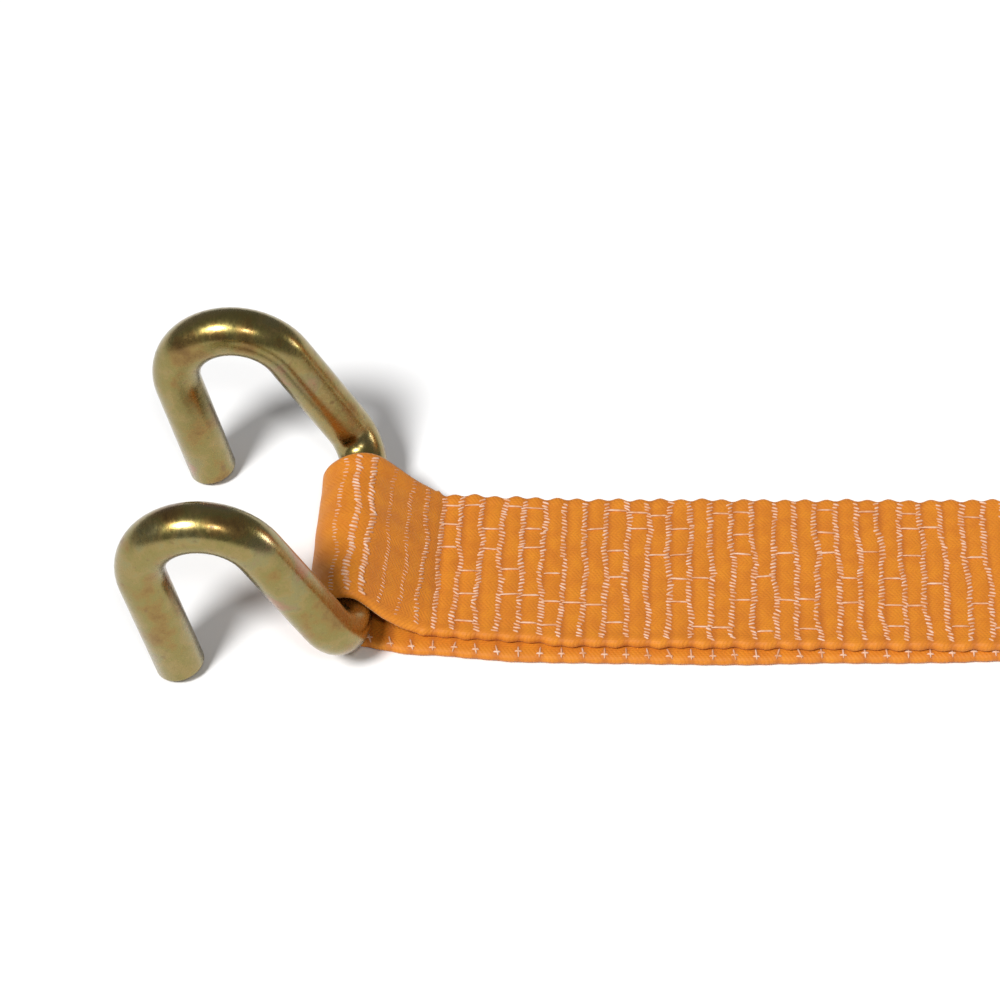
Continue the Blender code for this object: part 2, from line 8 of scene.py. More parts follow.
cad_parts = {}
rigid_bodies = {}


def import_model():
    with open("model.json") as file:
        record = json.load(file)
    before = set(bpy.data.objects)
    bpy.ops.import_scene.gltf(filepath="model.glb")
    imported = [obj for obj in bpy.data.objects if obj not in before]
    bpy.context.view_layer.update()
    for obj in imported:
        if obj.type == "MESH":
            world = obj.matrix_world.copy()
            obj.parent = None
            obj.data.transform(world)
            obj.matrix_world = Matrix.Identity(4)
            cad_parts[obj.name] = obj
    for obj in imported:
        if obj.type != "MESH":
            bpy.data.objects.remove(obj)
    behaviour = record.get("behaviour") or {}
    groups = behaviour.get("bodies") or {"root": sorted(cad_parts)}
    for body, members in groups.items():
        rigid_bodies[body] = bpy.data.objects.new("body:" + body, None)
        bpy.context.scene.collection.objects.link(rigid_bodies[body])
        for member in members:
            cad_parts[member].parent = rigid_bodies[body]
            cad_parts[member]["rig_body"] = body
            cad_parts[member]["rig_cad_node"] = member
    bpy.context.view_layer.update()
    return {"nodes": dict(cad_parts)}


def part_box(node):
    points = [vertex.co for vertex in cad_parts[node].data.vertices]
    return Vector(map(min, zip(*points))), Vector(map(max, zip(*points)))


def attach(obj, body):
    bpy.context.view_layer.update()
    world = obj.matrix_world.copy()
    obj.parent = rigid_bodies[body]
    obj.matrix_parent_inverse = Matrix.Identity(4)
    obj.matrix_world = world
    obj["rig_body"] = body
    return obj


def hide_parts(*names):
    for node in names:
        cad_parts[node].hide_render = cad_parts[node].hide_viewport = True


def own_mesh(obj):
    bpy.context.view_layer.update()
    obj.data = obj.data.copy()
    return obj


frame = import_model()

bpy.context.scene.view_settings.view_transform = "Standard"

# where things are, read from the frame
hookLow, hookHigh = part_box("hook_front")
rearLow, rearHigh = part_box("hook_rear")
sleeveLow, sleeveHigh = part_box("anchor_sleeve")
rodRadius = 0.006
webWidth = 0.050
webThickness = 0.0025
loopInner = rodRadius + 0.0003  # inside radius of the sewn loops
crossbarHeight = loopInner + webThickness
frontX = hookHigh.x - rodRadius
rearX = rearLow.x + rodRadius
frontY = (hookLow.y + hookHigh.y) / 2
rearY = (rearLow.y + rearHigh.y) / 2
anchorX = (sleeveLow.x + sleeveHigh.x) / 2
anchorHeight = (sleeveLow.z + sleeveHigh.z) / 2
rollLow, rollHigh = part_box("long_strap")
rollRadius = (rollHigh.z - rollLow.z) / 2
rollX = rollLow.x + rollRadius

# camera: where it stands round the aim point, in radians and metres
view = {
    "azimuth": math.radians(4.55),
    "elevation": math.radians(45.8),
    "roll": math.radians(-2.53),
    "distance": 0.7144,
    "aim": Vector((frontX + 0.03426, frontY + 0.02416, 0)),
    "lens": 100.8,
    "sensor": 36,
    "nearest": 0.01,
}


def aimCamera(spec):
    az, el, roll = spec["azimuth"], spec["elevation"], spec["roll"]
    back = Vector((math.sin(az) * math.cos(el), -math.cos(az) * math.cos(el), math.sin(el)))
    level = Vector((math.cos(az), math.sin(az), 0))
    rise = back.cross(level)
    right = level * math.cos(roll) + rise * math.sin(roll)
    up = rise * math.cos(roll) - level * math.sin(roll)
    camera = bpy.data.objects.new("camera", bpy.data.cameras.new("camera"))
    camera.data.lens = spec["lens"]
    camera.data.sensor_width = spec["sensor"]
    camera.data.clip_start = spec["nearest"]
    camera.matrix_world = Matrix.Translation(spec["aim"] + back * spec["distance"]) @ Matrix(
        (right, up, back)
    ).transposed().to_4x4()
    bpy.context.scene.collection.objects.link(camera)
    bpy.context.scene.camera = camera


# each lamp: kind, place, what it points at, size (angle for the sun), power
lamps = {
    "keyLight": ("SUN", (-0.92, -1.00, 1.72), (-0.10, 0, 0), math.radians(15), 3.35),
    "frontLight": ("AREA", (0.06, -1.05, 1.40), (-0.15, 0, 0), 0.24, 5.0),
    "sideLight": ("AREA", (1.15, 0.20, 0.42), (-0.10, 0, 0.03), 0.30, 3.2),
}
skyStrength = 0.20


def softLight(name, kind, place, target, size, power):
    lamp = bpy.data.objects.new(name, bpy.data.lights.new(name, kind))
    if kind == "AREA":
        lamp.data.shape = "DISK"
        lamp.data.size = size
    else:
        lamp.data.angle = size
    lamp.data.energy = power
    lamp.location = place
    lamp.rotation_euler = (Vector(target) - Vector(place)).to_track_quat("-Z", "Y").to_euler()
    bpy.context.scene.collection.objects.link(lamp)


aimCamera(view)
for name, settings in lamps.items():
    softLight(name, *settings)
world = bpy.data.worlds.new("studio")
bpy.context.scene.world = world
world.use_nodes = True
sky = world.node_tree.nodes["Background"]
sky.inputs["Color"].default_value = (1, 1, 1, 1)
sky.inputs["Strength"].default_value = skyStrength
print("camera and lights set")


def clearSelection():
    for obj in bpy.context.selected_objects:
        obj.select_set(False)


def pick(obj):
    clearSelection()
    obj.select_set(True)
    bpy.context.view_layer.objects.active = obj


def applyAll(obj):
    pick(obj)
    for modifier in list(obj.modifiers):
        bpy.ops.object.modifier_apply(modifier=modifier.name)


def settle(obj):
    pick(obj)
    bpy.ops.object.transform_apply(location=True, rotation=True, scale=True)


def closeHoles(obj):
    # merge the doubles, cap what is open, turn the faces outwards
    pick(obj)
    bpy.ops.object.mode_set(mode="EDIT")
    bpy.ops.mesh.select_all(action="SELECT")
    bpy.ops.mesh.remove_doubles(threshold=0.00001)
    bpy.ops.mesh.select_all(action="DESELECT")
    bpy.ops.mesh.select_non_manifold(extend=False)
    bpy.ops.mesh.fill_holes(sides=0)
    bpy.ops.mesh.select_all(action="SELECT")
    bpy.ops.mesh.normals_make_consistent(inside=False)
    bpy.ops.object.mode_set(mode="OBJECT")


def smoothen(obj, angle):
    pick(obj)
    bpy.ops.object.shade_smooth_by_angle(angle=math.radians(angle))


def moveDrawn(offset):
    # extrude the selected edges or faces by this much
    bpy.ops.mesh.extrude_region_move(TRANSFORM_OT_translate={"value": tuple(offset)})


def pointsOf(obj):
    points = np.zeros(len(obj.data.vertices) * 3)
    obj.data.vertices.foreach_get("co", points)
    return points.reshape(-1, 3)


def finishPiece(obj, name, look, body, node):
    # name, material and body of a piece that stands for this node
    obj.name = name
    obj.data.name = name
    obj.data.materials.clear()
    obj.data.materials.append(look)
    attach(obj, body)
    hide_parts(node)
    return obj


class Nodes:
    # short names for wiring one material

    def __init__(self, name):
        self.material = bpy.data.materials.new(name)
        self.material.use_nodes = True
        self.tree = self.material.node_tree
        self.shader = self.tree.nodes["Principled BSDF"]
        self.coords = self.tree.nodes.new("ShaderNodeTexCoord")

    def add(self, kind, values=None, **settings):
        node = self.tree.nodes.new("ShaderNode" + kind)
        for key, value in settings.items():
            setattr(node, key, value)
        for key, value in (values or {}).items():
            if isinstance(value, bpy.types.NodeSocket):
                self.tree.links.new(value, node.inputs[key])
            else:
                node.inputs[key].default_value = value
        return node

    def math(self, operation, a, b=0.0):
        return self.add("Math", {0: a, 1: b}, operation=operation).outputs[0]

    def noise(self, vector, scale, detail=3.0, rough=0.5):
        return self.add(
            "TexNoise", {"Vector": vector, "Scale": scale, "Detail": detail, "Roughness": rough}
        ).outputs[0]

    def stretched(self, vector, scale):
        return self.add("Mapping", {"Vector": vector, "Scale": scale}).outputs[0]

    def ramp(self, factor, stops):
        node = self.add("ValToRGB", {0: factor})
        node.color_ramp.interpolation = "B_SPLINE"
        while len(node.color_ramp.elements) < len(stops):
            node.color_ramp.elements.new(0.5)
        for element, (place, colour) in zip(node.color_ramp.elements, stops):
            element.position = place
            element.color = (*colour, 1)
        return node.outputs[0]

    def spread(self, factor, low, high, start=0.0, end=1.0):
        node = self.add("MapRange", {0: factor, 1: start, 2: end, 3: low, 4: high})
        return node.outputs[0]

    def mix(self, factor, a, b):
        node = self.add("Mix", data_type="RGBA")
        for key, value in ((0, factor), (6, a), (7, b)):
            if isinstance(value, bpy.types.NodeSocket):
                self.tree.links.new(value, node.inputs[key])
            else:
                node.inputs[key].default_value = value if key == 0 else (*value, 1)
        return node.outputs[2]

    def bump(self, height, distance, strength):
        values = {"Height": height, "Distance": distance, "Strength": strength}
        return self.add("Bump", values).outputs[0]

    def plug(self, **sockets):
        for key, value in sockets.items():
            socket = self.shader.inputs[key.replace("_", " ")]
            if isinstance(value, bpy.types.NodeSocket):
                self.tree.links.new(value, socket)
            else:
                socket.default_value = value
        return self.material


# shared by every plated finish
platingSpec = {
    "speckle": 14,  # times finer than the patches
    "speckleShare": 0.14,
    "pitColour": (0.20, 0.12, 0.06),
    "pitDullness": 0.15,
    "markDepth": 0.00006,
    "markStrength": 0.35,
    "coatRoughness": 0.16,
}


def platedSteel(name, stops, roughLow, roughHigh, blotch, grain, wear, coat=0.0):
    # zinc plate: film colours drift in patches, with fine drawing marks and a few dull spots
    spec = platingSpec
    n = Nodes(name)
    place = n.coords.outputs["Object"]
    patches = n.noise(place, blotch, 2.5, 0.55)
    speckle = n.noise(place, blotch * spec["speckle"], 4, 0.6)
    drift = n.math("MULTIPLY", patches, 1 - spec["speckleShare"])
    film = n.math("ADD", drift, n.math("MULTIPLY", speckle, spec["speckleShare"]))
    colour = n.ramp(film, stops)
    marks = n.noise(n.stretched(place, (1, 0.35, 1)), grain, 5, 0.65)
    pits = n.noise(place, grain * 0.5, 2, 0.5)
    worn = n.spread(pits, 0, 1, 0.62, 0.74)
    colour = n.mix(n.math("MULTIPLY", worn, wear), colour, spec["pitColour"])
    dull = n.math("MULTIPLY", worn, spec["pitDullness"])
    rough = n.math("ADD", n.spread(marks, roughLow, roughHigh, 0.3, 0.7), dull)
    normal = n.bump(marks, spec["markDepth"], spec["markStrength"])
    return n.plug(
        Base_Color=colour,
        Roughness=rough,
        Metallic=1.0,
        Normal=normal,
        Coat_Weight=coat,
        Coat_Roughness=spec["coatRoughness"],
    )


hookLook = platedSteel(
    "yellowZincRod",
    [
        (0.32, (0.18, 0.100, 0.030)),
        (0.42, (0.32, 0.205, 0.062)),
        (0.48, (0.23, 0.215, 0.066)),
        (0.54, (0.35, 0.235, 0.086)),
        (0.60, (0.24, 0.250, 0.100)),
        (0.68, (0.36, 0.185, 0.110)),
    ],
    roughLow=0.21,
    roughHigh=0.33,
    blotch=85,
    grain=900,
    wear=0.35,
    coat=0.30,
)
plateLook = platedSteel(
    "yellowZincPlate",
    [
        (0.32, (0.40, 0.31, 0.13)),
        (0.46, (0.55, 0.45, 0.22)),
        (0.55, (0.47, 0.46, 0.25)),
        (0.64, (0.58, 0.45, 0.26)),
        (0.74, (0.52, 0.36, 0.24)),
    ],
    roughLow=0.24,
    roughHigh=0.40,
    blotch=28,
    grain=700,
    wear=0.35,
)
zincLook = platedSteel(
    "brightZinc",
    [(0.35, (0.48, 0.49, 0.50)), (0.50, (0.62, 0.63, 0.63)), (0.65, (0.55, 0.57, 0.60))],
    roughLow=0.22,
    roughHigh=0.42,
    blotch=60,
    grain=800,
    wear=0.06,
)
wheelLook = platedSteel(
    "hardenedWheel",
    [(0.35, (0.13, 0.12, 0.11)), (0.50, (0.22, 0.21, 0.20)), (0.66, (0.30, 0.27, 0.23))],
    roughLow=0.28,
    roughHigh=0.48,
    blotch=70,
    grain=900,
    wear=0.15,
)


plasticSpec = {
    "dark": (0.012, 0.012, 0.013),
    "light": (0.030, 0.030, 0.032),
    "roughLow": 0.38,
    "roughHigh": 0.55,
    "textureScale": 1400,
    "textureDepth": 0.0001,
}


def gripPlastic(spec):
    n = Nodes("gripPlastic")
    place = n.coords.outputs["Object"]
    leather = n.noise(place, spec["textureScale"], 3, 0.55)
    smear = n.noise(place, 60, 2, 0.5)
    return n.plug(
        Base_Color=n.ramp(smear, [(0.35, spec["dark"]), (0.65, spec["light"])]),
        Roughness=n.spread(smear, spec["roughLow"], spec["roughHigh"]),
        Normal=n.bump(leather, spec["textureDepth"], 0.5),
    )


# distances along and across the webbing in metres
weaveSpec = {
    "ribPitch": 0.00105,
    "yarnPitch": 0.00062,
    "herringbone": 0.0031,  # width of one slanted stripe
    "ribSlope": 0.75,
    "waver": 0.0009,
    "fibreScale": 5200,
    "depth": 0.00014,
    "stops": [
        (0.30, (0.55, 0.162, 0.009)),
        (0.52, (0.62, 0.198, 0.010)),
        (0.74, (0.68, 0.238, 0.011)),
    ],
    # painted shade: colour of the weave's valleys between the ribs
    "between": (0.34, 0.085, 0.010),
    "fuzz": (0.74, 0.37, 0.15),
    # painted shade: colour and share of the darkening on the seams' cross rows
    "furrow": (0.38, 0.095, 0.012),
    "furrowShadeShare": 0.60,
}


def wovenOrange(spec):
    # polyester webbing: herringbone ribs about 1 mm apart, single yarns across them; painted shade darkens
    # the valleys between ribs and the seams' cross rows
    n = Nodes("wovenOrange")
    sheet = n.coords.outputs["UV"]
    parts = n.add("SeparateXYZ", {0: sheet})
    across, along = parts.outputs[0], parts.outputs[1]
    drift = n.math("MULTIPLY", n.math("SUBTRACT", n.noise(sheet, 130, 2), 0.5), spec["waver"])
    zigzag = n.math("PINGPONG", across, spec["herringbone"])
    slope = n.math("ADD", n.math("ADD", along, n.math("MULTIPLY", zigzag, spec["ribSlope"])), drift)
    rib = n.math("ABSOLUTE", n.math("SINE", n.math("MULTIPLY", slope, math.pi / spec["ribPitch"])))
    yarn = n.math("ABSOLUTE", n.math("SINE", n.math("MULTIPLY", across, math.pi / spec["yarnPitch"])))
    height = n.math("ADD", n.math("MULTIPLY", rib, 0.65), n.math("MULTIPLY", yarn, 0.35))
    fibre = n.noise(n.stretched(sheet, (1, 0.25, 1)), spec["fibreScale"], 3, 0.6)
    height = n.math("ADD", height, n.math("MULTIPLY", fibre, 0.5))
    base = n.ramp(n.noise(sheet, 190, 4, 0.65), spec["stops"])
    # painted shade: the valleys between the ribs are darkened in colour
    shaded = n.mix(n.spread(height, 0.22, 0.0, 0.25, 1.1), base, spec["between"])
    shaded = n.mix(n.spread(fibre, 0.0, 0.14, 0.55, 0.8), shaded, spec["fuzz"])
    # painted shade: colour darkened along the seams' cross rows, where the furrows lie
    rowShade = n.add("Attribute", attribute_name="furrow").outputs["Fac"]
    shaded = n.mix(n.math("MULTIPLY", rowShade, spec["furrowShadeShare"]), shaded, spec["furrow"])
    normal = n.bump(height, spec["depth"], 0.6)
    return n.plug(
        Base_Color=shaded,
        Roughness=0.62,
        Sheen_Weight=0.25,
        Sheen_Roughness=0.4,
        Sheen_Tint=(1.0, 0.75, 0.5, 1),
        Specular_IOR_Level=0.35,
        Normal=normal,
    )


threadStops = [(0.34, (0.56, 0.25, 0.11)), (0.50, (0.68, 0.38, 0.21)), (0.66, (0.72, 0.50, 0.38))]


def paleThread(stops):
    n = Nodes("paleThread")
    place = n.coords.outputs["Object"]
    twist = n.noise(place, 5200, 2, 0.5)
    return n.plug(
        Base_Color=n.ramp(n.noise(place, 420, 2, 0.6), stops),
        Roughness=0.55,
        Sheen_Weight=0.2,
        Normal=n.bump(twist, 0.00008, 0.6),
    )


gripLook = gripPlastic(plasticSpec)
webLook = wovenOrange(weaveSpec)
threadLook = paleThread(threadStops)
print("materials made")


# hooks: one round bar drawn along its bends
hookSpec = {
    "sides": 48,
    "cornerSteps": 12,
    "jawSteps": 26,
    "halfSpacing": (hookHigh.y - hookLow.y) / 2 - rodRadius,
    "cornerRadius": 0.009,
    "legSlope": math.radians(118.5),
    "legLength": 0.0366,
    "jawRadius": 0.0153,
    "jawSweep": math.radians(162.2),
    "tipChamfer": 0.0005,
}


def bendHook(spec):
    # half the hook, from the middle of the crossbar to the cut tip, then mirrored
    slope = spec["legSlope"]
    leg = Vector((math.cos(slope), 0, math.sin(slope)))
    straight = spec["halfSpacing"] - spec["cornerRadius"]
    clearSelection()
    bpy.ops.mesh.primitive_circle_add(
        vertices=spec["sides"], radius=rodRadius, fill_type="NOTHING", rotation=(math.pi / 2, 0, 0)
    )
    hook = bpy.context.object
    settle(hook)
    bpy.ops.object.mode_set(mode="EDIT")
    bpy.ops.mesh.select_all(action="SELECT")
    moveDrawn((0, straight, 0))
    corner = Vector((0, straight, 0)) + leg * spec["cornerRadius"]
    bpy.ops.mesh.spin(
        steps=spec["cornerSteps"], angle=math.pi / 2, center=corner, axis=leg.cross(Vector((0, 1, 0)))
    )
    moveDrawn(leg * (spec["legLength"] - spec["cornerRadius"]))
    inward = Vector((-math.sin(slope), 0, math.cos(slope)))
    start = Vector((0, spec["halfSpacing"], 0)) + leg * spec["legLength"]
    centre = start + inward * spec["jawRadius"]
    bpy.ops.mesh.spin(steps=spec["jawSteps"], angle=spec["jawSweep"], center=centre, axis=(0, 1, 0))
    down = slope + spec["jawSweep"]
    end = centre - Vector((-math.sin(down), 0, math.cos(down))) * spec["jawRadius"]
    reach = (end.z + crossbarHeight - rodRadius * math.cos(down)) / -math.sin(down)
    moveDrawn(Vector((math.cos(down), 0, math.sin(down))) * reach)
    bpy.ops.mesh.edge_face_add()
    bpy.ops.mesh.bevel(offset=spec["tipChamfer"], segments=3, affect="EDGES")
    bpy.ops.object.mode_set(mode="OBJECT")
    mirror = hook.modifiers.new("otherProng", "MIRROR")
    mirror.use_axis = (False, True, False)
    mirror.merge_threshold = 0.00005
    applyAll(hook)
    closeHoles(hook)
    return hook


def addHook(name, x, y, turned, body, node):
    hook = bendHook(hookSpec)
    if turned:
        hook.rotation_euler = (0, 0, math.pi)
    hook.location = (x, y, crossbarHeight)
    settle(hook)
    smoothen(hook, 35)
    finishPiece(hook, name, hookLook, body, node)


addHook("frontHook", frontX, frontY, False, "front_hook", "hook_front")
addHook("rearHook", rearX, rearY, True, "rear_hook", "hook_rear")
print("hooks bent")


routeStep = 0.00025


class Route:
    # the webbing's middle line in the X-Z plane, measured along its length

    def __init__(self, points, soften, facing=1):
        points = np.array(points, float)
        steps = np.hypot(*np.diff(points, axis=0).T)
        length = np.concatenate([[0], np.cumsum(steps)])
        even = np.arange(0, length[-1], routeStep)
        x = np.interp(even, length, points[:, 0])
        z = np.interp(even, length, points[:, 1])
        if soften:
            count = int(soften / routeStep)
            kernel = np.hanning(2 * count + 1)
            kernel /= kernel.sum()
            x = np.convolve(np.pad(x, count, mode="edge"), kernel, "valid")
            z = np.convolve(np.pad(z, count, mode="edge"), kernel, "valid")
        steps = np.hypot(np.diff(x), np.diff(z))
        self.s = np.concatenate([[0], np.cumsum(steps)])
        self.x, self.z = x, z
        self.length = self.s[-1]
        tx, tz = np.gradient(x), np.gradient(z)
        size = np.hypot(tx, tz) + 1e-12
        self.nx, self.nz = facing * tz / size, -facing * tx / size

    def at(self, s):
        return [np.interp(s, self.s, v) for v in (self.x, self.z, self.nx, self.nz)]


def tangentAngle(point, centre, radius, turn):
    dx, dz = point[0] - centre[0], point[1] - centre[1]
    return math.atan2(dz, dx) + turn * math.acos(radius / math.hypot(dx, dz))


def loopPoints(centre, radius, top, low, side, stand=0.0, count=40):
    # from the upper ply round the far side of the bar to the lower ply, standing off it by this share
    start = tangentAngle(top, centre, radius, -side)
    end = tangentAngle(low, centre, radius, side)
    while (start - end) * side < 0:
        end -= 2 * math.pi * side
    angles = np.linspace(start, end, count)
    slack = [1 + stand * max(0.0, side * math.cos(a)) ** 1.5 for a in angles]
    return [
        (centre[0] + radius * k * math.cos(a), centre[1] + radius * math.sin(a))
        for a, k in zip(angles, slack)
    ]


def bandSection(width, thickness, flat, rounded):
    # closed section: upper face, one selvedge, lower face, the other selvedge. (across, out) and u
    r = thickness / 2
    half = width / 2 - r
    across = np.linspace(-half, half, flat)
    points = [(a, r, a) for a in across]
    for i in range(1, rounded):
        turn = math.pi / 2 - math.pi * i / rounded
        points.append((half + r * math.cos(turn), r * math.sin(turn), half + r * math.cos(turn)))
    points += [(a, -r, a) for a in across[::-1]]
    for i in range(1, rounded):
        turn = -math.pi / 2 - math.pi * i / rounded
        points.append((-half + r * math.cos(turn), r * math.sin(turn), -half + r * math.cos(turn)))
    return np.array(points)


def weaveBand(route, stations, centreY, section, shape, sewn):
    # a grid wrapped into a closed band: rows along the route, columns round the section
    rows, columns = len(stations), len(section) + 1
    clearSelection()
    bpy.ops.mesh.primitive_grid_add(x_subdivisions=columns - 1, y_subdivisions=rows - 1, size=1)
    band = bpy.context.object
    s = np.repeat(stations, columns)
    ring = np.vstack([section, section[:1]])
    across = np.tile(ring[:, 0], rows)
    out = np.tile(ring[:, 1], rows)
    u = np.tile(ring[:, 2], rows)
    x, z, nx, nz = route.at(s)
    shift, spread, lift = shape(s, across, out, x)
    rise = out + lift
    points = np.column_stack([x + nx * rise, centreY + shift + across * spread, z + nz * rise])
    band.data.vertices.foreach_set("co", points.astype(np.float32).ravel())
    layer = band.data.uv_layers[0].data
    corners = np.zeros(len(band.data.loops), np.int32)
    band.data.loops.foreach_get("vertex_index", corners)
    flat = np.column_stack([u + webWidth, s])[corners]
    layer.foreach_set("uv", flat.astype(np.float32).ravel())
    # painted shade: where the seams' cross rows are darkened, stored as the furrow attribute
    furrow = band.data.attributes.new("furrow", "FLOAT", "POINT")
    furrow.data.foreach_set("value", sewn(s, x).astype(np.float32))
    band.data.update()
    closeHoles(band)
    smoothen(band, 50)
    return band


def keyed(s, keys):
    # smooth values between named stations along the route
    stations = np.array([k[0] for k in keys])
    values = np.array([k[1] for k in keys])
    index = np.clip(np.searchsorted(stations, s) - 1, 0, len(stations) - 2)
    t = np.clip((s - stations[index]) / (stations[index + 1] - stations[index]), 0, 1)
    t = t * t * (3 - 2 * t)
    return values[index] * (1 - t) + values[index + 1] * t


def ramped(value, start, over):
    # 0 up to the start, then rising to 1 over this distance
    return np.clip((value - start) / over, 0, 1)


# both sewn overlaps, in metres
seamSpec = {
    "pitch": 0.0052,  # from one cross row to the next
    "first": 0.0205,  # first row, from the crossbar
    "furrow": 0.00020,  # rise between two rows
    "scallop": 0.00030,  # selvedge out between rows, in on a row
    "scallopFrom": 0.0205,
    "scallopOver": 0.0045,
    "uneven": 0.00012,
}


def ripple(x, start):
    # 1 midway between two cross rows, -1 on a row
    return -np.cos(2 * np.pi * (x - start) / seamSpec["pitch"])


def rowShadeMask(x, start, where):
    # where painted shade goes: 1 on a cross row of the seam, 0 between rows and where nothing is sewn
    return np.where(where, np.clip(-ripple(x, start), 0, 1) ** 2, 0.0)


def quietNoise(a, b, seed):
    # smooth, repeatable unevenness
    rng = np.random.default_rng(seed)
    total = 0
    for _ in range(5):
        fa, fb, phase = rng.uniform(60, 420), rng.uniform(30, 260), rng.uniform(0, 6.28)
        total = total + np.sin(a * fa + b * fb + phase) / 5
    return total


# the strap between hook and buckle; stations run from the sewn-down end at the hook side
shortSpec = {
    "hookOverlap": 0.200,
    "anchorOverlap": 0.095,
    "anchorBare": 0.040,  # unsewn part of the overlap at the bolt
    "anchorFirst": 0.004,  # first row of the anchor seam, from the strap's end
    "anchorRows": 10,
    "close": 0.020,  # where the plies meet, from the crossbar
    "join": 0.034,  # where they meet, from the bolt
    "sleeveRadius": 0.0068,
    "slack": 0.20,  # how far the loop stands off the crossbar
    "soften": 0.0028,
    "loopEnd": 0.222,
    "lowStart": 0.225,
    "pressedStart": 0.228,
    "lowEnd": 0.45,
    "fineStep": 0.00075,
    "fineLength": 0.440,
    "coarseStep": 0.0022,
    "lastStep": 0.0012,
    "lastLength": 0.110,
}
halfPly = webThickness / 2
topPly = 1.5 * webThickness


def shortStrapRoute(spec):
    bar = (frontX, crossbarHeight)
    pin = (anchorX, anchorHeight)
    midBar = loopInner + halfPly
    midPin = spec["sleeveRadius"] + halfPly
    join = anchorX - spec["join"]
    top = (frontX + spec["close"], topPly)
    points = [(frontX + spec["hookOverlap"], topPly), top]
    points += loopPoints(bar, midBar, top, (frontX + 0.001, halfPly), -1, spec["slack"])
    points += [(join, halfPly)]
    turnRound = loopPoints(pin, midPin, (join, topPly), (join, halfPly), 1)[::-1]
    points += turnRound + [(join, topPly), (anchorX - spec["anchorOverlap"], topPly)]
    return Route(points, spec["soften"])


shortRoute = shortStrapRoute(shortSpec)


def crestStation(route):
    # the station on the upper ply nearest the crossbar
    return float(route.s[int(np.argmin(np.abs(route.x - frontX) + np.abs(route.z - topPly)))])


tops = {"open": shortSpec["hookOverlap"] - shortSpec["close"], "crest": crestStation(shortRoute)}
# how far the middle lies to one side, by station
shortCentre = [
    (0.0, -0.0015),
    (0.066, -0.0031),
    (0.102, -0.0035),
    (0.132, -0.0037),
    (0.144, -0.0039),
    (0.162, -0.0029),
    (0.176, -0.0022),
    (0.186, -0.0017),
    (0.200, -0.0004),
    (0.213, -0.0006),
    (0.2275, -0.0022),
    (0.2455, -0.0042),
    (0.2725, -0.0060),
    (0.3165, -0.0059),
    (0.3515, -0.0046),
    (0.420, -0.0018),
    (0.500, 0.0),
    (0.720, 0.0),
]
# width by station
shortWidth = [
    (0.0, 0.0490),
    (0.066, 0.0488),
    (0.102, 0.0486),
    (0.144, 0.0482),
    (0.162, 0.0473),
    (0.176, 0.0471),
    (0.186, 0.0468),
    (0.200, 0.0484),
    (0.213, 0.0470),
    (0.2275, 0.0482),
    (0.2455, 0.0500),
    (0.500, 0.0500),
    (0.530, 0.0494),
    (0.720, 0.0496),
]


# how the webbing leaves the flat, in metres
reliefSpec = {
    "raggedPitch": 0.0117,
    "ragged": 0.00020,
    "raggedMore": 0.00022,
    "looseShare": 0.25,  # share of the scallops on the lower ply
    "beadFrom": 0.0222,
    "beadOver": 0.0016,
    "bead": 0.00030,  # thicker selvedge
    "buckleOver": 0.040,
    "droopFrom": 0.0100,
    "droopOver": 0.0140,
    "droop": 0.0019,  # near edge of the upper ply, where it comes down from the loop
}


def shortShape(s, across, out, x):
    # sideways shift, width factor and lift of the webbing's surface
    spec = reliefSpec
    upper = s < tops["open"] + 0.002
    underHook = (x < frontX + shortSpec["hookOverlap"]) & (s < shortSpec["lowEnd"])
    sewnLow = underHook & (s > shortSpec["lowStart"])
    sewnEnd = s > shortRoute.length - shortSpec["anchorOverlap"] + shortSpec["anchorBare"]
    sewn = np.where(upper | sewnLow | sewnEnd, 1.0, 0.0)
    wave = ripple(x, frontX + seamSpec["first"])
    width = keyed(s, shortWidth) / webWidth
    edge = ramped(np.abs(across), seamSpec["scallopFrom"], seamSpec["scallopOver"]) ** 2
    loose = np.where(upper | sewnEnd, 1.0, spec["looseShare"])
    ragged = seamSpec["scallop"] * wave + spec["ragged"] * np.sin(x * 2 * np.pi / spec["raggedPitch"])
    ragged = ragged + spec["raggedMore"] * quietNoise(x, 0 * x, 3)
    grow = sewn * loose * edge * ragged
    shift = keyed(s, shortCentre) + np.sign(across) * grow
    upperFace = (out > 0) & (upper | sewnEnd)
    lift = np.where(upperFace, seamSpec["furrow"] * wave + seamSpec["uneven"] * quietNoise(x, across, 5), 0)
    bead = spec["bead"] * ramped(np.abs(across), spec["beadFrom"], spec["beadOver"])
    lift = lift + np.where(upperFace, bead, 0)
    lift = lift * ramped(np.abs(s - tops["open"]), -0.002, 0.004)
    inLoop = (s > tops["open"]) & (s < shortSpec["loopEnd"])
    # shallow buckles across the loop
    buckled = 0.00020 * np.sin(across * 260 + 0.6) + 0.00010 * np.sin(across * 610)
    lift = lift + np.where(inLoop, buckled * np.sin(ramped(s, tops["open"], spec["buckleOver"]) * np.pi), 0)
    nearSide = ramped(-across, spec["droopFrom"], spec["droopOver"]) ** 1.6
    # only between the loop and the place where the plies close
    slopeOnly = ramped(x - frontX, 0.002, 0.008) * ramped(frontX + 0.021 - x, 0, 0.006)
    lift = lift - np.where(s < tops["crest"] + 0.001, spec["droop"] * nearSide * slopeOnly, 0)
    return shift, width, lift


# where painted shade darkens the short strap's seam rows
def shortRowShade(s, x):
    underHook = (x < frontX + shortSpec["hookOverlap"]) & (s < shortSpec["lowEnd"])
    low = underHook & (s > shortSpec["pressedStart"])
    end = s > shortRoute.length - shortSpec["anchorOverlap"] + shortSpec["anchorBare"]
    return rowShadeMask(x, frontX + seamSpec["first"], (s < tops["open"] + 0.002) | low | end)


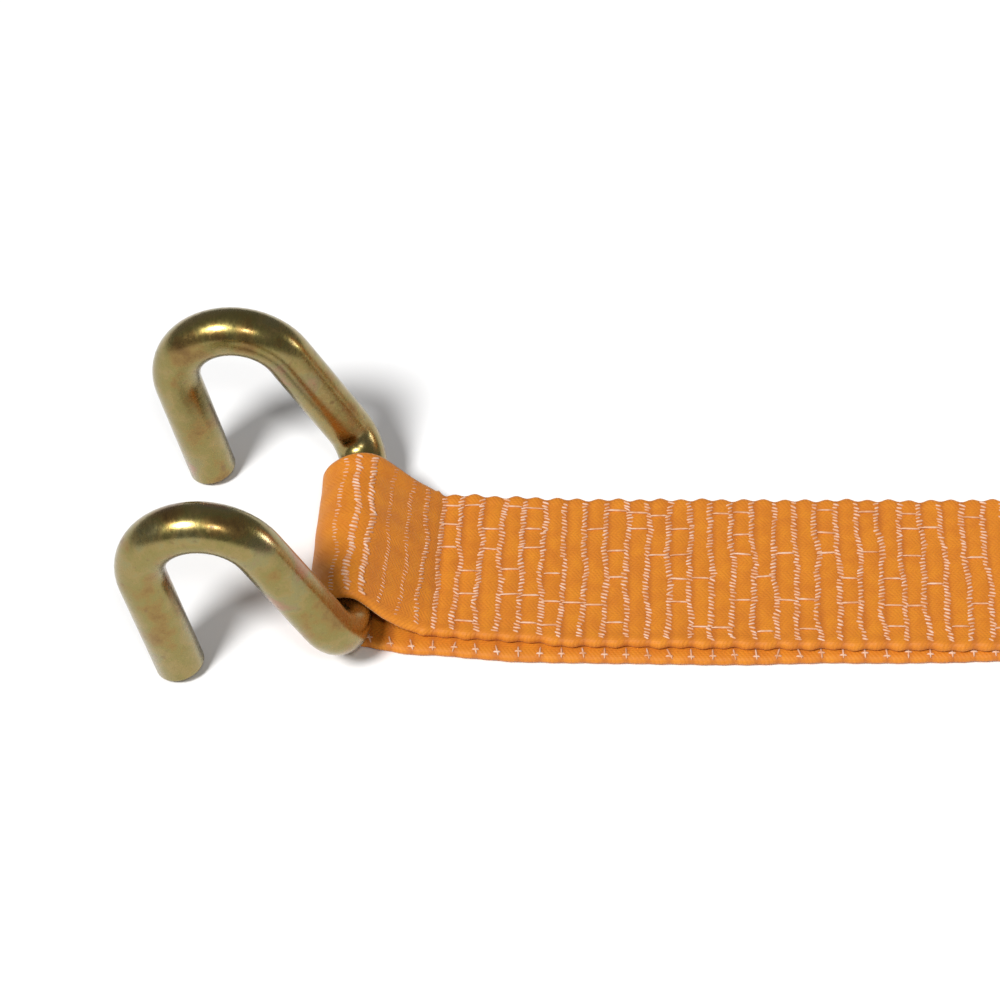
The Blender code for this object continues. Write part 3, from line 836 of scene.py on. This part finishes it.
def shortStations(spec, route):
    # close together where the overlaps are sewn, further apart between them
    lastStart = route.length - spec["lastLength"]
    fine = np.arange(0, spec["fineLength"], spec["fineStep"])
    coarse = np.arange(spec["fineLength"], lastStart, spec["coarseStep"])
    last = np.arange(lastStart, route.length, spec["lastStep"])
    return np.concatenate([fine, coarse, last, [route.length]])


sectionThickness = webThickness - 0.0001
shortBand = weaveBand(
    shortRoute,
    shortStations(shortSpec, shortRoute),
    frontY,
    bandSection(webWidth, sectionThickness, 34, 5),
    shortShape,
    shortRowShade,
)
finishPiece(shortBand, "shortWebbing", webLook, "fixed_strap", "fixed_strap")
print("short webbing woven, length", round(float(shortRoute.length), 3))

# the rolled strap: from its sewn-down end, round the rear hook, along the floor and into the roll
longSpec = {
    "overlap": 0.150,
    "close": 0.020,
    "lowStart": 0.175,
    "lowEnd": 0.330,
    "soften": 0.0015,
    "core": 0.0193,
    "turnPitch": 0.00255,
    "turnStep": 4,  # degrees
    "tailStep": 0.0011,
    "tailLength": 0.36,
    "rollStep": 0.0050,
}


def longStrapRoute(spec):
    bar = (rearX, crossbarHeight)
    midBar = loopInner + halfPly
    top = (rearX - spec["close"], topPly)
    points = [(rearX - spec["overlap"], topPly), top]
    points += loopPoints(bar, midBar, top, (rearX - 0.001, halfPly), 1)
    points += [(rollX + 0.001, halfPly)]
    radius = rollRadius - halfPly
    turn = -math.pi / 2
    while radius > spec["core"]:
        points.append((rollX + radius * math.cos(turn), rollRadius + radius * math.sin(turn)))
        turn -= math.radians(spec["turnStep"])
        radius -= spec["turnPitch"] * spec["turnStep"] / 360
    return Route(points, spec["soften"], -1)


longRoute = longStrapRoute(longSpec)
longTail = longSpec["overlap"] + math.pi * (loopInner + halfPly) + (rearX - rollX)
longWidth = [
    (0.0, 0.0496),
    (0.115, 0.0494),
    (0.132, 0.0480),
    (0.147, 0.0460),
    (0.160, 0.0460),
    (0.172, 0.0492),
    (0.190, 0.0500),
    (20.0, 0.0500),
]


def longShape(s, across, out, x):
    upper = s < longSpec["overlap"] - longSpec["close"]
    sewnLow = (s > longSpec["lowStart"]) & (s < longSpec["lowEnd"])
    wave = ripple(rearX - x, seamSpec["first"])
    sewn = np.where(upper | sewnLow, 1.0, 0.0)
    edge = ramped(np.abs(across), seamSpec["scallopFrom"], seamSpec["scallopOver"]) ** 2
    shift = np.sign(across) * sewn * edge * seamSpec["scallop"] * wave
    rolled = ramped(s, longTail, 0.05)  # the turns of the roll lie a little uneven
    shift = shift + rolled * (0.00055 * np.sin(s * 11.7) + 0.00035 * np.sin(s * 29.3 + 1.0))
    raised = seamSpec["furrow"] * wave + seamSpec["uneven"] * quietNoise(x, across, 8)
    return shift, keyed(s, longWidth) / webWidth, np.where((out > 0) & upper, raised, 0)


# where painted shade darkens the long strap's seam rows
def longRowShade(s, x):
    return rowShadeMask(rearX - x, seamSpec["first"], (s < longSpec["overlap"] - longSpec["close"]))


longStations = np.concatenate(
    [
        np.arange(0, longSpec["tailLength"], longSpec["tailStep"]),
        np.arange(longSpec["tailLength"], longRoute.length, longSpec["rollStep"]),
        [longRoute.length],
    ]
)
longBand = weaveBand(
    longRoute,
    longStations,
    rearY,
    bandSection(webWidth, sectionThickness, 13, 4),
    longShape,
    longRowShade,
)
finishPiece(longBand, "longWebbing", webLook, "long_strap", "long_strap")
print("long webbing rolled, length", round(float(longRoute.length), 2))


# stitching: short slanted stitches in cross rows, and straight runs along the strap
stitchSpec = {
    "radius": 0.00025,
    "slantLength": 0.00175,
    "slant": 21,  # degrees
    "slantSpread": 8,
    "step": 0.00112,
    "wander": 0.00050,
    "jitter": 0.00012,
    "rowFrom": -0.0235,
    "rowTo": 0.0238,
    "leftShare": 0.75,  # share of the rows that start with a left lean
    "turnShare": 0.035,  # share of the stitches at which the lean changes
    "rows": (-0.0195, -0.0112, -0.0030, 0.0054, 0.0134, 0.0200),
    "runDrift": 0.0009,
    "barShare": 0.62,  # straight part of one stitch; the ends dip and taper
    "endShare": 0.19,
    "endDip": 0.5,
    "endTaper": 0.45,
}


def stitchShape(spec):
    # one stitch: a thin rounded bar of unit length along X, tucked in at both ends
    clearSelection()
    bpy.ops.mesh.primitive_cylinder_add(
        vertices=6, radius=1, depth=spec["barShare"], end_fill_type="NGON", rotation=(0, math.pi / 2, 0)
    )
    bar = bpy.context.object
    settle(bar)
    for side in (-1, 1):
        pick(bar)
        bpy.ops.object.mode_set(mode="EDIT")
        bpy.ops.mesh.select_all(action="DESELECT")
        bpy.ops.object.mode_set(mode="OBJECT")
        for face in bar.data.polygons:
            face.select = face.normal.x * side > 0.9
        bpy.ops.object.mode_set(mode="EDIT")
        moveDrawn((side * spec["endShare"], 0, -spec["endDip"]))
        bpy.ops.transform.resize(value=(1, spec["endTaper"], spec["endTaper"]))
        bpy.ops.object.mode_set(mode="OBJECT")
    points = pointsOf(bar)
    faces = [tuple(face.vertices) for face in bar.data.polygons]
    bpy.data.objects.remove(bar)
    return points, faces


stitchPoints, stitchFaces = stitchShape(stitchSpec)
acrossStrap = np.array([0.0, 1.0, 0.0])


def sewStitches(name, stitches):
    # each stitch is (middle, along, up, length, radius)
    points, faces = [], []
    for middle, along, up, length, radius in stitches:
        across = np.cross(up, along)
        local = stitchPoints * (length, radius, radius)
        base = len(points) * len(stitchPoints)
        points.append(middle + local[:, :1] * along + local[:, 1:2] * across + local[:, 2:] * up)
        faces += [tuple(base + v for v in face) for face in stitchFaces]
    mesh = bpy.data.meshes.new(name)
    mesh.from_pydata(np.concatenate(points).tolist(), [], faces)
    thread = bpy.data.objects.new(name, mesh)
    bpy.context.scene.collection.objects.link(thread)
    smoothen(thread, 70)
    return thread


def onStrap(route, shape, centreY, s, across, above, outward=1):
    # point, outward normal and direction along the strap at this station
    s, across = np.array([s]), np.array([across])
    x, z, nx, nz = route.at(s)
    shift, spread, lift = shape(s, across, np.array([outward * webThickness / 2]), x)
    rise = outward * (webThickness / 2 + above) + lift
    point = np.array([(x + nx * rise)[0], (centreY + shift + across * spread)[0], (z + nz * rise)[0]])
    normal = np.array([nx[0], 0, nz[0]]) * outward
    return point, normal, np.array([nz[0], 0, -nx[0]]) * -1


def crossRow(stitches, route, shape, centreY, station, rng, spec, weight=1.0):
    # one wavering row of slanted stitches across the strap
    phase, sway = rng.uniform(0, 6.28), rng.uniform(0.5, 1.0)
    lean = 1 if rng.random() < spec["leftShare"] else -1
    y = spec["rowFrom"] + rng.uniform(0, 0.0006)
    while y < spec["rowTo"]:
        wander = spec["wander"] * sway * (math.sin(y * 190 + phase) + 0.6 * math.sin(y * 430 + 2.1 * phase))
        if rng.random() < spec["turnShare"]:
            lean = -lean
        point, normal, forward = onStrap(
            route, shape, centreY, station + wander + rng.normal(0, spec["jitter"]), y, 0.00003
        )
        slant = math.radians(rng.normal(spec["slant"], spec["slantSpread"])) * lean
        along = forward * math.cos(slant) + acrossStrap * math.sin(slant)
        length = spec["slantLength"] * rng.uniform(0.7, 1.2) * (0.5 + 0.5 * weight)
        stitches.append((point, along, normal, length, spec["radius"] * weight * rng.uniform(0.85, 1.15)))
        y += spec["step"] * rng.uniform(0.85, 1.2)


def lengthRuns(stitches, route, shape, centreY, stations, rng, spec):
    # straight runs: each is seen over one gap, then hidden under the next one or two
    for y in spec["rows"]:
        gap = rng.integers(0, 2)
        drift = rng.uniform(0, 6.28)
        for i in range(len(stations) - 1):
            if gap > 0:
                gap -= 1
                continue
            middle = (stations[i] + stations[i + 1]) / 2
            place = y + spec["runDrift"] * math.sin(i * 0.45 + drift) + rng.normal(0, 0.00035)
            point, normal, forward = onStrap(route, shape, centreY, middle, place, 0.00010)
            tilt = rng.normal(0, 0.05)
            along = forward * math.cos(tilt) + acrossStrap * math.sin(tilt)
            length = abs(stations[i + 1] - stations[i]) * rng.uniform(0.75, 1.0)
            stitches.append((point, along, normal, length, spec["radius"] * rng.uniform(0.8, 1.1)))
            gap = rng.choice((1, 2, 1, 3, 0))


# the small crosses where a cross row ends, on the lower ply's outer face
crossSpec = {
    "place": 0.0231,
    "barPlace": 0.0236,
    "barJitter": 0.0004,
    "length": 0.0032,
    "sway": 0.15,
}


def seamThread(name, route, shape, centreY, stations, seed, loopRows=(), edgeRows=()):
    rng = np.random.default_rng(seed)
    stitches = []
    for station in stations:
        crossRow(stitches, route, shape, centreY, station, rng, stitchSpec)
    lengthRuns(stitches, route, shape, centreY, stations, rng, stitchSpec)
    for station, weight in loopRows:
        crossRow(stitches, route, shape, centreY, station, rng, stitchSpec, weight)
    for station in edgeRows:
        for side in (-1, 1):
            place = side * crossSpec["place"]
            point, normal, forward = onStrap(route, shape, centreY, station, place, 0.00004, -1)
            sway = rng.normal(0, crossSpec["sway"])
            down = forward * math.sin(sway) + acrossStrap * math.cos(sway)
            stitches.append((point, down, normal, crossSpec["length"], stitchSpec["radius"] * 0.9))
            place = side * (crossSpec["barPlace"] + rng.normal(0, crossSpec["barJitter"]))
            point, normal, forward = onStrap(route, shape, centreY, station, place, 0.00010, -1)
            stitches.append((point, forward, normal, stitchSpec["slantLength"], stitchSpec["radius"]))
    return sewStitches(name, stitches)


def rowStations(overlap):
    count = int((overlap - seamSpec["first"]) / seamSpec["pitch"])
    return [overlap - seamSpec["first"] - i * seamSpec["pitch"] for i in range(count)]


# rows round each loop: distance on from the overlap's row nearest the crossbar, and weight
frontLoopRows = ((0.0047, 0.8), (0.0097, 0.45), (0.0152, 0.4), (0.0204, 1.15), (0.0238, 1.2), (0.0275, 0.6))
rearLoopRows = ((0.0052, 0.5), (0.0150, 0.95), (0.0190, 1.0))
hookRows = rowStations(shortSpec["hookOverlap"])
loopRows = [(hookRows[0] + distance, weight) for distance, weight in frontLoopRows]
lowPly = (shortRoute.s > shortSpec["pressedStart"]) & (shortRoute.s < shortSpec["fineLength"])
lowStation = float(np.interp(frontX + seamSpec["first"], shortRoute.x[lowPly], shortRoute.s[lowPly]))
lowRows = [lowStation + i * seamSpec["pitch"] for i in range(-3, len(hookRows))]
hookThread = seamThread(
    "hookSeamThread",
    shortRoute,
    shortShape,
    frontY,
    hookRows,
    seed=11,
    loopRows=loopRows,
    edgeRows=lowRows,
)
finishPiece(hookThread, "hookSeamThread", threadLook, "fixed_strap", "hook_seam")
anchorFirst = shortRoute.length - shortSpec["anchorFirst"]
anchorRows = [anchorFirst - i * seamSpec["pitch"] for i in range(shortSpec["anchorRows"])]
anchorThread = seamThread("anchorSeamThread", shortRoute, shortShape, frontY, anchorRows, seed=12)
finishPiece(anchorThread, "anchorSeamThread", threadLook, "fixed_strap", "anchor_seam")
rearRows = rowStations(longSpec["overlap"])
rearLoop = [(rearRows[0] + distance, weight) for distance, weight in rearLoopRows]
rearThread = seamThread(
    "rearSeamThread", longRoute, longShape, rearY, rearRows, seed=13, loopRows=rearLoop
)
finishPiece(rearThread, "rearSeamThread", threadLook, "long_strap", "rear_seam")
print("seams sewn")


# pressed and turned steel, each with its edges broken: width, look, body, slot
edgeSpec = {
    "frame": (0.00055, plateLook, "ratchet_frame", "frame_steel"),
    "handle_arm_near": (0.00055, plateLook, "handle", "frame_steel"),
    "handle_arm_far": (0.00055, plateLook, "handle", "frame_steel"),
    "ratchet_wheel_near": (0.00030, wheelLook, "spool", "wheel_steel"),
    "ratchet_wheel_far": (0.00030, wheelLook, "spool", "wheel_steel"),
    "spool_half_upper": (0.00045, zincLook, "spool", "bright_zinc"),
    "spool_half_lower": (0.00045, zincLook, "spool", "bright_zinc"),
    "spool_washer_near": (0.00025, zincLook, "spool", "bright_zinc"),
    "spool_washer_far": (0.00025, zincLook, "spool", "bright_zinc"),
    "split_pin_near": (0.00015, zincLook, "spool", "bright_zinc"),
    "split_pin_far": (0.00015, zincLook, "spool", "bright_zinc"),
    "anchor_bolt": (0.00040, zincLook, "ratchet_frame", "bright_zinc"),
    "anchor_nut": (0.00040, zincLook, "ratchet_frame", "bright_zinc"),
    "anchor_washer_near": (0.00025, zincLook, "ratchet_frame", "bright_zinc"),
    "anchor_washer_far": (0.00025, zincLook, "ratchet_frame", "bright_zinc"),
    "anchor_sleeve": (0.00025, zincLook, "ratchet_frame", "bright_zinc"),
    "spring_seat": (0.00040, zincLook, "handle", "bright_zinc"),
    "grip_rod": (0.00050, zincLook, "handle", "bright_zinc"),
    "drive_pawl": (0.00035, zincLook, "drive_pawl", "bright_zinc"),
    "lock_pawl": (0.00035, zincLook, "lock_pawl", "bright_zinc"),
}


def breakEdges(node, width, look, body):
    # a merged copy of the node's mesh, free of its triangles, with its sharp edges bevelled
    source = frame["nodes"][node]
    piece = source.copy()
    piece.data = source.data.copy()
    piece.parent = None
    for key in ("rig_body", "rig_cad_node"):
        if key in piece:
            del piece[key]
    bpy.context.scene.collection.objects.link(piece)
    pick(piece)
    bpy.ops.object.mode_set(mode="EDIT")
    bpy.ops.mesh.select_all(action="SELECT")
    bpy.ops.mesh.remove_doubles(threshold=0.000004)
    bpy.ops.mesh.dissolve_limited(angle_limit=math.radians(1.5))
    bpy.ops.mesh.normals_make_consistent(inside=False)
    bpy.ops.object.mode_set(mode="OBJECT")
    bevel = piece.modifiers.new("brokenEdge", "BEVEL")
    bevel.width = width
    bevel.segments = 2
    bevel.limit_method = "ANGLE"
    bevel.angle_limit = math.radians(35)
    applyAll(piece)
    smoothen(piece, 40)
    name = "".join(word.capitalize() if i else word for i, word in enumerate(node.split("_")))
    finishPiece(piece, name + "Piece", look, body, node)


for node, (width, look, body, slot) in edgeSpec.items():
    breakEdges(node, width, look, body)
print("steel pieces finished")


# springs: slope, body, free length, pawl travel
springSpec = {
    "wire": 0.0005,
    "wireSides": 8,
    "radius": 0.0036,
    "turns": 6,
    "stepsPerTurn": 18,
    "pairs": {
        "drive": (0.0, "handle", 0.0134, 0.0070),
        "lock": (math.radians(30), "ratchet_frame", 0.0124, 0.0060),
    },
}


def windSpring(name, node, centre, length, slope, body):
    # a coil wound along X, then turned to its slope at this centre
    turns = springSpec["turns"]
    clearSelection()
    bpy.ops.mesh.primitive_circle_add(
        vertices=springSpec["wireSides"], radius=springSpec["wire"], location=(0, 0, springSpec["radius"])
    )
    coil = bpy.context.object
    coil.rotation_euler = (math.pi / 2, 0, 0)
    settle(coil)
    screw = coil.modifiers.new("winding", "SCREW")
    screw.axis = "X"
    screw.angle = 2 * math.pi * turns
    screw.screw_offset = length - 2 * springSpec["wire"]
    screw.steps = springSpec["stepsPerTurn"] * turns
    screw.render_steps = screw.steps
    applyAll(coil)
    closeHoles(coil)
    along = pointsOf(coil)[:, 0]
    middle = Vector(((along.min() + along.max()) / 2, 0, 0))
    turned = Matrix.Rotation(slope, 4, "Y")
    coil.data.transform(Matrix.Translation(centre) @ turned @ Matrix.Translation(-middle))
    smoothen(coil, 60)
    return finishPiece(coil, name, zincLook, body, node)


for kind, (slope, body, length, travel) in springSpec["pairs"].items():
    for side in ("near", "far"):
        node = kind + "_spring_" + side
        low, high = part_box(node)
        middle = (low + high) / 2
        coil = windSpring(kind + side.capitalize() + "Coil", node, middle, length, slope, body)
        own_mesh(coil)
print("springs wound")


# grip: a moulded sleeve with flutes between two collars
gripSpec = {
    "sides": 72,
    "rings": 14,
    "flutes": 18,
    "fluteDepth": 0.0007,
    "collar": 0.0055,
    "collarStep": 0.0008,
    "neck": 0.0009,  # how much thinner the fluted part is
    "endRound": 0.0010,
    "fluteMargin": 0.0014,  # from a collar to the first ring of the flutes
    "bore": 0.0043,
}


def mouldGrip(spec):
    low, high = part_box("grip_tube")
    radius = (high.z - low.z) / 2
    middle = (low + high) / 2
    reach = (high.y - low.y) / 2
    shoulder, neck = reach - spec["collar"], radius - spec["neck"]
    end, step = spec["endRound"], spec["collarStep"]
    flutesEnd = shoulder - spec["fluteMargin"]
    # place along Y and radius, from one end of the bore over the outside to the other
    profile = [(-reach, spec["bore"]), (-reach, radius - end), (-reach + end, radius)]
    profile += [(-shoulder, radius), (-shoulder + step, neck)]
    profile += [(y, neck) for y in np.linspace(-flutesEnd, flutesEnd, spec["rings"])]
    profile += [(shoulder - step, neck), (shoulder, radius)]
    profile += [(reach - end, radius), (reach, radius - end), (reach, spec["bore"])]
    clearSelection()
    bpy.ops.mesh.primitive_circle_add(
        vertices=spec["sides"], radius=profile[0][1], fill_type="NOTHING", rotation=(math.pi / 2, 0, 0)
    )
    grip = bpy.context.object
    settle(grip)
    grip.data.transform(Matrix.Translation((0, profile[0][0], 0)))
    bpy.ops.object.mode_set(mode="EDIT")
    bpy.ops.mesh.select_all(action="SELECT")
    for (y0, r0), (y1, r1) in zip(profile, profile[1:] + profile[:1]):
        moveDrawn((0, y1 - y0, 0))
        bpy.ops.transform.resize(value=(r1 / r0, 1, r1 / r0), center_override=(0, y1, 0))
    bpy.ops.object.mode_set(mode="OBJECT")
    for vertex in grip.data.vertices:
        distance = math.hypot(vertex.co.x, vertex.co.z)
        inside = abs(vertex.co.y) < shoulder - 0.0010
        if inside and distance > radius * 0.7:
            angle = math.atan2(vertex.co.z, vertex.co.x)
            groove = max(0.0, math.cos(angle * spec["flutes"])) * spec["fluteDepth"]
            vertex.co.x *= 1 - groove / distance
            vertex.co.z *= 1 - groove / distance
    closeHoles(grip)
    grip.data.transform(Matrix.Translation(middle))
    smoothen(grip, 35)
    finishPiece(grip, "gripSleeve", gripLook, "handle", "grip_tube")


mouldGrip(gripSpec)
print("grip moulded")


floorSpec = {
    "size": 14,
    "drop": 0.0002,  # just under the parts that rest on it
    "dark": (0.90, 0.90, 0.90),
    "light": (0.93, 0.93, 0.93),
}


def layFloor(spec):
    clearSelection()
    bpy.ops.mesh.primitive_plane_add(size=spec["size"], location=(0, 0, -spec["drop"]))
    floor = bpy.context.object
    floor.name = "floor"
    n = Nodes("paleFloor")
    tone = n.noise(n.coords.outputs["Object"], 3, 2)
    colour = n.ramp(tone, [(0.3, spec["dark"]), (0.7, spec["light"])])
    floor.data.materials.append(n.plug(Base_Color=colour, Roughness=0.9, Specular_IOR_Level=0.1))


layFloor(floorSpec)
print("done")
